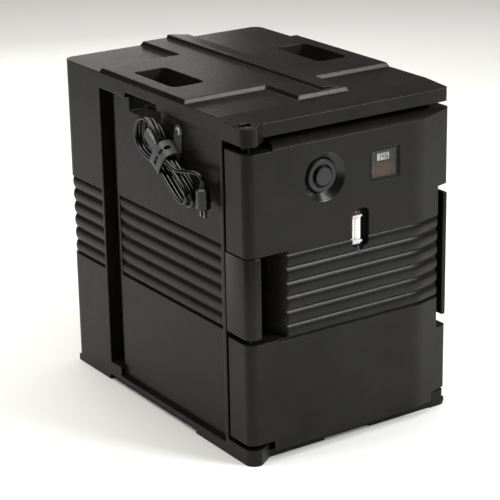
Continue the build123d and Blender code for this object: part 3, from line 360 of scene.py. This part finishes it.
def rounded(node, width_mm, body, least_degrees=35, crisp=()):
    """A merged copy of a CAD node with its outer sharp edges rounded; it replaces the node.

    An edge is rounded if it is convex and sharper than least_degrees.  Edges inside the boxes of
    the crisp nodes, which are seats and bores, stay as they are.
    """
    form = bmesh.new()
    form.from_mesh(frame["nodes"][node].data)
    bmesh.ops.remove_doubles(form, verts=form.verts, dist=MERGE_WITHIN)
    bmesh.ops.dissolve_limit(form, angle_limit=radians(FLAT_DEGREES), verts=form.verts,
                             edges=form.edges)
    weight = form.edges.layers.float.new("bevel_weight_edge")
    seats = [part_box(other) for other in crisp]
    for face in form.faces:
        face.smooth = True
    for edge in form.edges:
        middle = (edge.verts[0].co + edge.verts[1].co) / 2
        seated = any(all(low[k] - SEAT_CLEARANCE < middle[k] < high[k] + SEAT_CLEARANCE
                         for k in range(3)) for low, high in seats)
        turn = edge.calc_face_angle() if len(edge.link_faces) == 2 else 0.0
        if turn > radians(least_degrees) and edge.is_convex and not seated:
            edge[weight] = 1.0
        elif turn > radians(CREASE_DEGREES):
            edge.smooth = False
    mesh = bpy.data.meshes.new(node + "_moulded")
    form.to_mesh(mesh)
    form.free()
    mesh.materials.clear()
    mesh.materials.append(finishes[slot_of[node]])
    piece = bpy.data.objects.new(node + "_moulded", mesh)
    bpy.context.scene.collection.objects.link(piece)
    bevel = piece.modifiers.new("rounding", "BEVEL")
    bevel.width, bevel.segments = width_mm * MM, ROUNDING_STEPS
    bevel.limit_method = "WEIGHT"
    bevel.use_clamp_overlap = False
    bevel.harden_normals = True
    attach(piece, body)
    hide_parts(node)


def grid_piece(name, place, across, along, material, body, closed=False, skip=None,
               thick_mm=0.0):
    """A surface over a grid of steps i across and j along, worked out as whole arrays.

    place(i, j) gives x, y and z, and skip(i, j) is true for the cells left out.
    """
    j, i = np.mgrid[0:along, 0:across].reshape(2, -1)
    points = np.stack(np.broadcast_arrays(*place(i, j)), axis=1)
    j, i = np.mgrid[0:along - 1, 0:across if closed else across - 1].reshape(2, -1)
    if skip:
        kept = ~skip(i, j)
        i, j = i[kept], j[kept]
    beside = (i + 1) % across
    faces = np.stack((j * across + i, j * across + beside,
                      (j + 1) * across + beside, (j + 1) * across + i), axis=1)
    piece = mesh_object(name, points, faces, material, body)
    piece.data.shade_smooth()
    if thick_mm:
        wall = piece.modifiers.new("thickness", "SOLIDIFY")
        wall.thickness, wall.offset = thick_mm * MM, 0.0
    return piece


# a box's corner k is at its high side in X, Y and Z where bits 1, 2 and 4 of k are set
BOX_CORNERS = np.array([(k & 1, k >> 1 & 1, k >> 2) for k in range(8)])
BOX_FACES = np.array([(0, 2, 3, 1), (4, 5, 7, 6), (0, 1, 5, 4), (2, 6, 7, 3), (0, 4, 6, 2),
                      (1, 3, 7, 5)])


def boxes_piece(name, boxes, material, body):
    """Separate upright boxes in one mesh, each given by its low and high corners in metres."""
    points = np.array(boxes)[:, BOX_CORNERS, np.arange(3)].reshape(-1, 3)
    faces = (BOX_FACES + 8 * np.arange(len(boxes))[:, None, None]).reshape(-1, 4)
    return mesh_object(name, points, faces, material, body)


finishes = make_materials()
slot_of = {row["node"]: row["material_slot"] for row in frame["record"]["subparts"]}
for node_name, node in frame["nodes"].items():
    node.data.materials.clear()
    node.data.materials.append(finishes[slot_of[node_name]])
    smooth(node.data, 30)

# ---------------------------------------------------------------- cord hank
HANK_LEAN = radians(34.0)
hank_low, hank_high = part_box("cord_hank")
HANK_CENTRE = (hank_low + hank_high) / 2
CORD_RADIUS = 4.0 * MM
STEPS_PER_TURN = 20


def hank_point(down, across, out):
    """X, Y and Z of points given in mm down the leaning hank, across it and out of the panel."""
    return (HANK_CENTRE.x - out * MM,
            HANK_CENTRE.y + (-down * cos(HANK_LEAN) - across * sin(HANK_LEAN)) * MM,
            HANK_CENTRE.z + (-down * sin(HANK_LEAN) + across * cos(HANK_LEAN)) * MM)


def loop_point(share, low_end, high_end, radius):
    """Points down and across a long loop: round its lower end, up, round its upper end, down.

    Two half circles of one radius joined by straight runs, followed at an even pace.
    """
    bend, run = pi * radius, low_end + high_end
    at = share * 2 * (bend + run)
    legs = (at < bend, at < bend + run, at < 2 * bend + run)
    low_turn = pi / 2 - at / radius
    high_turn = -pi / 2 - (at - bend - run) / radius
    down = np.select(legs, (low_end + radius * np.cos(low_turn), low_end - (at - bend),
                            -high_end + radius * np.cos(high_turn)),
                     -high_end + (at - 2 * bend - run))
    across = np.select(legs, (radius * np.sin(low_turn), -radius, radius * np.sin(high_turn)),
                       radius)
    return down, across


# how each turn lies, by turns from the first: end positions, radius and height out, in mm
TURN_AT = (0.0, 0.55, 0.8, 1.55, 1.8, 2.55, 2.8, 3.8)
LOW_END = (50.0, 50.0, 60.0, 72.0, 70.0, 64.0, 60.0, 55.0)
HIGH_END = (57.0, 57.0, 60.0, 65.0, 67.0, 70.0, 71.0, 72.0)
TURN_RADIUS = (28.0, 30.0, 33.0, 36.0, 36.0, 36.0, 36.0, 35.0)
TURN_OUT = (-12.5, -12.5, -4.2, -4.2, 4.2, 4.2, 12.5, 12.5)
TURNS = 3.93
# the strap gathers the turns: share of the loop's width left, by millimetres down the hank
GATHER_AT = (-80.0, -55.0, -30.0, -13.0, 15.0, 110.0)
GATHER = (1.0, 0.93, 0.62, 0.45, 0.47, 0.58)
CORD_START = [(-34, 0, -1.0), (-20, 0, -3.0), (0, 3, -8.0), (22, 9, -11.5), (38, 14, -12.5)]
CORD_END = [(38, 23, 11.5), (56, 40, 8.0), (72, 55, 4.0), (85, 63, 1.5), (94, 62.5, 0.5),
            (100, 57.5, 0.0), (104, 52, 0.0), (106.5, 48.5, 0.0)]


def cord_route():
    """Points of the whole cord: out of its connector, round the hank's turns, into the plug."""
    turn = np.arange(int(TURNS * STEPS_PER_TURN) + 1) / STEPS_PER_TURN
    low_end, high_end, radius, out = (
        np.interp(turn, TURN_AT, row) for row in (LOW_END, HIGH_END, TURN_RADIUS, TURN_OUT))
    down, across = loop_point(turn % 1.0, low_end, high_end, radius)
    across = across * np.interp(down, GATHER_AT, GATHER)
    way = np.vstack((CORD_START, np.stack((down, across, out), axis=1), CORD_END))
    return np.stack(hank_point(*way.T), axis=1)


def make_cord():
    """One open NURBS spline with a round section, and the point where it leaves its connector."""
    curve = bpy.data.curves.new("power_cord", "CURVE")
    curve.dimensions = "3D"
    curve.bevel_depth, curve.bevel_resolution = CORD_RADIUS, 4
    curve.resolution_u = 6
    curve.use_fill_caps = True
    route = cord_route()
    spline = curve.splines.new("NURBS")
    spline.points.add(len(route) - 1)
    spline.points.foreach_set("co", np.column_stack((route, np.ones(len(route)))).ravel())
    spline.order_u = 3
    spline.use_endpoint_u = True
    spline.use_smooth = True
    curve.materials.append(finishes["cord_jacket"])
    cord = bpy.data.objects.new("power_cord", curve)
    bpy.context.scene.collection.objects.link(cord)
    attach(cord, "cabinet")
    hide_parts("cord_hank")
    return cord, Vector(route[0])


cord, cord_exit = make_cord()

# ---------------------------------------------------------------- plug and its strain relief
plug_low, plug_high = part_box("cord_plug")
plug_x, plug_y = (plug_low.x + plug_high.x) / 2, (plug_low.y + plug_high.y) / 2

RELIEF_SIDES, RELIEF_RINGS = 32, 25
RELIEF_RADIUS, RELIEF_TAPER, RELIEF_LONG, RELIEF_LAP = 7.5, 2.7, 15.0, 1.0
GROOVES, GROOVE_DEEP = 5, 0.5


def relief_point(i, j):
    """A cone round the cord above the plug, less five shallow grooves that follow a cosine."""
    share = j / (RELIEF_RINGS - 1)
    groove = GROOVE_DEEP * (0.5 - 0.5 * np.cos(2 * pi * GROOVES * share))
    radius = (RELIEF_RADIUS - RELIEF_TAPER * share - groove) * MM
    angle = 2 * pi * i / RELIEF_SIDES
    return (plug_x + radius * np.cos(angle), plug_y + radius * np.sin(angle),
            plug_high.z + (RELIEF_LONG * share - RELIEF_LAP) * MM)


relief = grid_piece("plug_strain_relief", relief_point, RELIEF_SIDES, RELIEF_RINGS,
                    finishes["cord_jacket"], "cabinet", closed=True)

BLADE_APART, BLADE_THICK, BLADE_WIDE, BLADE_LONG = 12.7, 1.5, 6.3, 14.0


def blade(offset):
    """Corners of one flat blade under the plug, offset in millimetres along Y from its axis."""
    return ((plug_x - BLADE_WIDE / 2 * MM, plug_y + (offset - BLADE_THICK / 2) * MM,
             plug_low.z - BLADE_LONG * MM),
            (plug_x + BLADE_WIDE / 2 * MM, plug_y + (offset + BLADE_THICK / 2) * MM,
             plug_low.z + MM))


blades = boxes_piece("plug_blades", [blade(-BLADE_APART / 2), blade(BLADE_APART / 2)],
                     finishes["zinc_steel"], "cabinet")

# ---------------------------------------------------------------- strap
STRAP_DOWN, STRAP_HALF, STRAP_THICK = -13.0, 17.0, 2.6
BAND_HALF_ACROSS, BAND_HALF_OUT, BAND_POWER = 29.5, 19.0, 2.8
BAND_ROUND, BAND_ALONG = 160, 35
SLOT_HALF_LONG, SLOT_HALF_WIDE = 8.0, 4.0
# cells of the band at the slots' middles, and one cell's width there
SLOT_CENTRES = np.array((45, 63, 81))
SLOT_CELL = 1.15


def band_point(i, j):
    """Round the gathered cord: an oval squared off to the power 2.8, carried down the hank."""
    angle = 2 * pi * i / BAND_ROUND
    across, out = (half * np.sign(part) * np.abs(part) ** (2 / BAND_POWER) for half, part in (
        (BAND_HALF_ACROSS, np.sin(angle)), (-BAND_HALF_OUT, np.cos(angle))))
    return hank_point(STRAP_DOWN - STRAP_HALF + 2 * STRAP_HALF * j / (BAND_ALONG - 1), across, out)


def band_slot(i, j):
    """True in one of three oblong slots in line along the band's outer face."""
    beside = np.abs((j + 0.5) * 2 * STRAP_HALF / (BAND_ALONG - 1) - STRAP_HALF)[:, None]
    along = np.abs(i[:, None] + 0.5 - SLOT_CENTRES) * SLOT_CELL
    beyond = np.maximum(along - (SLOT_HALF_LONG - SLOT_HALF_WIDE), 0.0)
    return (np.sqrt(beyond ** 2 + beside ** 2) < SLOT_HALF_WIDE).any(axis=1)


band = grid_piece("strap_band", band_point, BAND_ROUND, BAND_ALONG, finishes["strap_rubber"],
                  "cabinet", closed=True, skip=band_slot, thick_mm=STRAP_THICK)
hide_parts("cord_strap")

EYELET_DOWN, EYELET_ACROSS = -27.0, 53.0
TAB_START, TAB_RADIUS, TAB_OUT = 22.0, 12.0, -19.0
TAB_HALF_START, TAB_HALF_END = 15.0, 12.0
TAB_WIDE_STEPS, TAB_LONG_STEPS = 25, 41
# least share of the half width, which leaves the tab's end a short edge and not a point
TAB_END_LEAST = 0.0004


def tab_point(i, j):
    """A tongue from the band to the eyelet: it narrows, then ends in a half circle."""
    reach = EYELET_ACROSS + TAB_RADIUS - TAB_START
    across = TAB_START + reach * np.sin(pi / 2 * j / (TAB_LONG_STEPS - 1))
    share = np.minimum((across - TAB_START) / (EYELET_ACROSS - TAB_START), 1.0)
    beyond = np.maximum(across - EYELET_ACROSS, 0.0)
    half = (TAB_HALF_START - (TAB_HALF_START - TAB_HALF_END) * share) * np.sqrt(
        np.maximum(1 - (beyond / TAB_RADIUS) ** 2, TAB_END_LEAST))
    middle = STRAP_DOWN + (EYELET_DOWN - STRAP_DOWN) * share
    return hank_point(middle + half * (2 * i / (TAB_WIDE_STEPS - 1) - 1), across, TAB_OUT)


grid_piece("strap_tab", tab_point, TAB_WIDE_STEPS, TAB_LONG_STEPS, finishes["strap_rubber"],
           "cabinet", thick_mm=STRAP_THICK)
# the eyelet takes the pale nickel whose colour carries a painted sheen
frame["nodes"]["strap_eyelet"].data.materials.clear()
frame["nodes"]["strap_eyelet"].data.materials.append(finishes["satin_nickel_painted_sheen"])

# ---------------------------------------------------------------- shells and mouldings
rounded("hinge_post", 2.0, "cabinet", crisp=("middle_hinge_pin",))
rounded("latch_handle", 1.2, "latch", crisp=("latch_rod",))
rounded("dial_case", 0.8, "door", least_degrees=30, crisp=("dial_window",))

# the vent's dish is polished, and its darker colour is painted shade in the recess
DISH_RADIUS, DISH_EDGE, DISH_DEPTH = 46 * MM, 0.3 * MM, 12 * MM
vent_low, vent_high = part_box("vent_ring")
vent_centre = (vent_low + vent_high) / 2
door_mesh = frame["nodes"]["door_shell"].data
door_mesh.materials.append(finishes["polished_shell"])
middles = np.empty(3 * len(door_mesh.polygons), np.float32)
door_mesh.polygons.foreach_get("center", middles)
middle_x, middle_y, middle_z = middles.astype(float).reshape(-1, 3).T
apart = np.sqrt((middle_x - vent_centre.x) ** 2 + (middle_z - vent_centre.z) ** 2)
sunk = middle_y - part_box("door_shell")[0].y
dish_painted_shade = (apart < DISH_RADIUS) & (sunk > DISH_EDGE) & (sunk < DISH_DEPTH)
door_mesh.polygons.foreach_set("material_index", dish_painted_shade.astype(np.int32))

# ---------------------------------------------------------------- thermometer face
case_low, case_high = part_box("dial_window")
lcd_low, lcd_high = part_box("lcd_panel")
cell_low, cell_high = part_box("solar_cell")
MASK_LAP, MASK_INSET = 1.5 * MM, 2 * MM
mask_x = np.array((case_low.x + MASK_INSET, cell_low.x + MASK_LAP, lcd_low.x + MASK_LAP,
                   lcd_high.x - MASK_LAP, cell_high.x - MASK_LAP, case_high.x - MASK_INSET))
mask_z = np.array((case_low.z + MASK_INSET, cell_low.z + MASK_LAP, cell_high.z - MASK_LAP,
                   lcd_low.z + MASK_LAP, lcd_high.z - MASK_LAP, case_high.z - MASK_INSET))
mask_y = (case_high.y + lcd_low.y) / 2


def mask_point(i, j):
    """A flat sheet ruled by the edges of the display and of the cell."""
    return mask_x[i], mask_y, mask_z[j]


def mask_open(i, j):
    """True where the mask leaves the display (upper) and the cell (lower) showing."""
    return (j == 3) & (i == 2) | (j == 1) & (i >= 1) & (i <= 3)


grid_piece("dial_mask", mask_point, len(mask_x), len(mask_z), finishes["mask_ink"],
           "door", skip=mask_open)

SEGMENTS = {"1": "bc", "4": "bcfg", "6": "acdefg"}
DIGIT_WIDE, DIGIT_HIGH, DIGIT_PITCH, STROKE = 5.8 * MM, 10.5 * MM, 8.2 * MM, 1.6 * MM
STROKE_FRONT, STROKE_BACK = 0.08 * MM, 0.02 * MM


def digit_boxes(text):
    """Upright strokes of seven-segment figures, in line across the display's middle."""
    strokes = []
    start = (lcd_low.x + lcd_high.x) / 2 - (len(text) - 1) / 2 * DIGIT_PITCH
    base = (lcd_low.z + lcd_high.z) / 2 - DIGIT_HIGH / 2
    half = DIGIT_HIGH / 2
    for k, figure in enumerate(text):
        left = start + k * DIGIT_PITCH - DIGIT_WIDE / 2
        right = left + DIGIT_WIDE
        spans = {"a": (left, right, 2 * half - STROKE, 2 * half), "d": (left, right, 0, STROKE),
                 "g": (left, right, half - STROKE / 2, half + STROKE / 2),
                 "b": (right - STROKE, right, half, 2 * half), "c": (right - STROKE, right, 0, half),
                 "f": (left, left + STROKE, half, 2 * half), "e": (left, left + STROKE, 0, half)}
        for segment in SEGMENTS[figure]:
            x0, x1, z0, z1 = spans[segment]
            strokes.append(((x0, lcd_low.y - STROKE_FRONT, base + z0),
                            (x1, lcd_low.y - STROKE_BACK, base + z1)))
    return strokes


boxes_piece("lcd_digits", digit_boxes("146"), finishes["segments"], "door")

# ---------------------------------------------------------------- floor
FLOOR_SIDE, FLOOR_DROP = 60.0, 0.5 * MM
floor_material = new_material("seamless_paper", Roughness=0.9, Specular_IOR_Level=0.1,
                              Base_Color=linear("#F4F4F2"))[0]
bpy.ops.mesh.primitive_plane_add(size=FLOOR_SIDE, location=(0, 0, -FLOOR_DROP))
floor = bpy.context.object
floor.name = "floor"
floor.data.materials.append(floor_material)
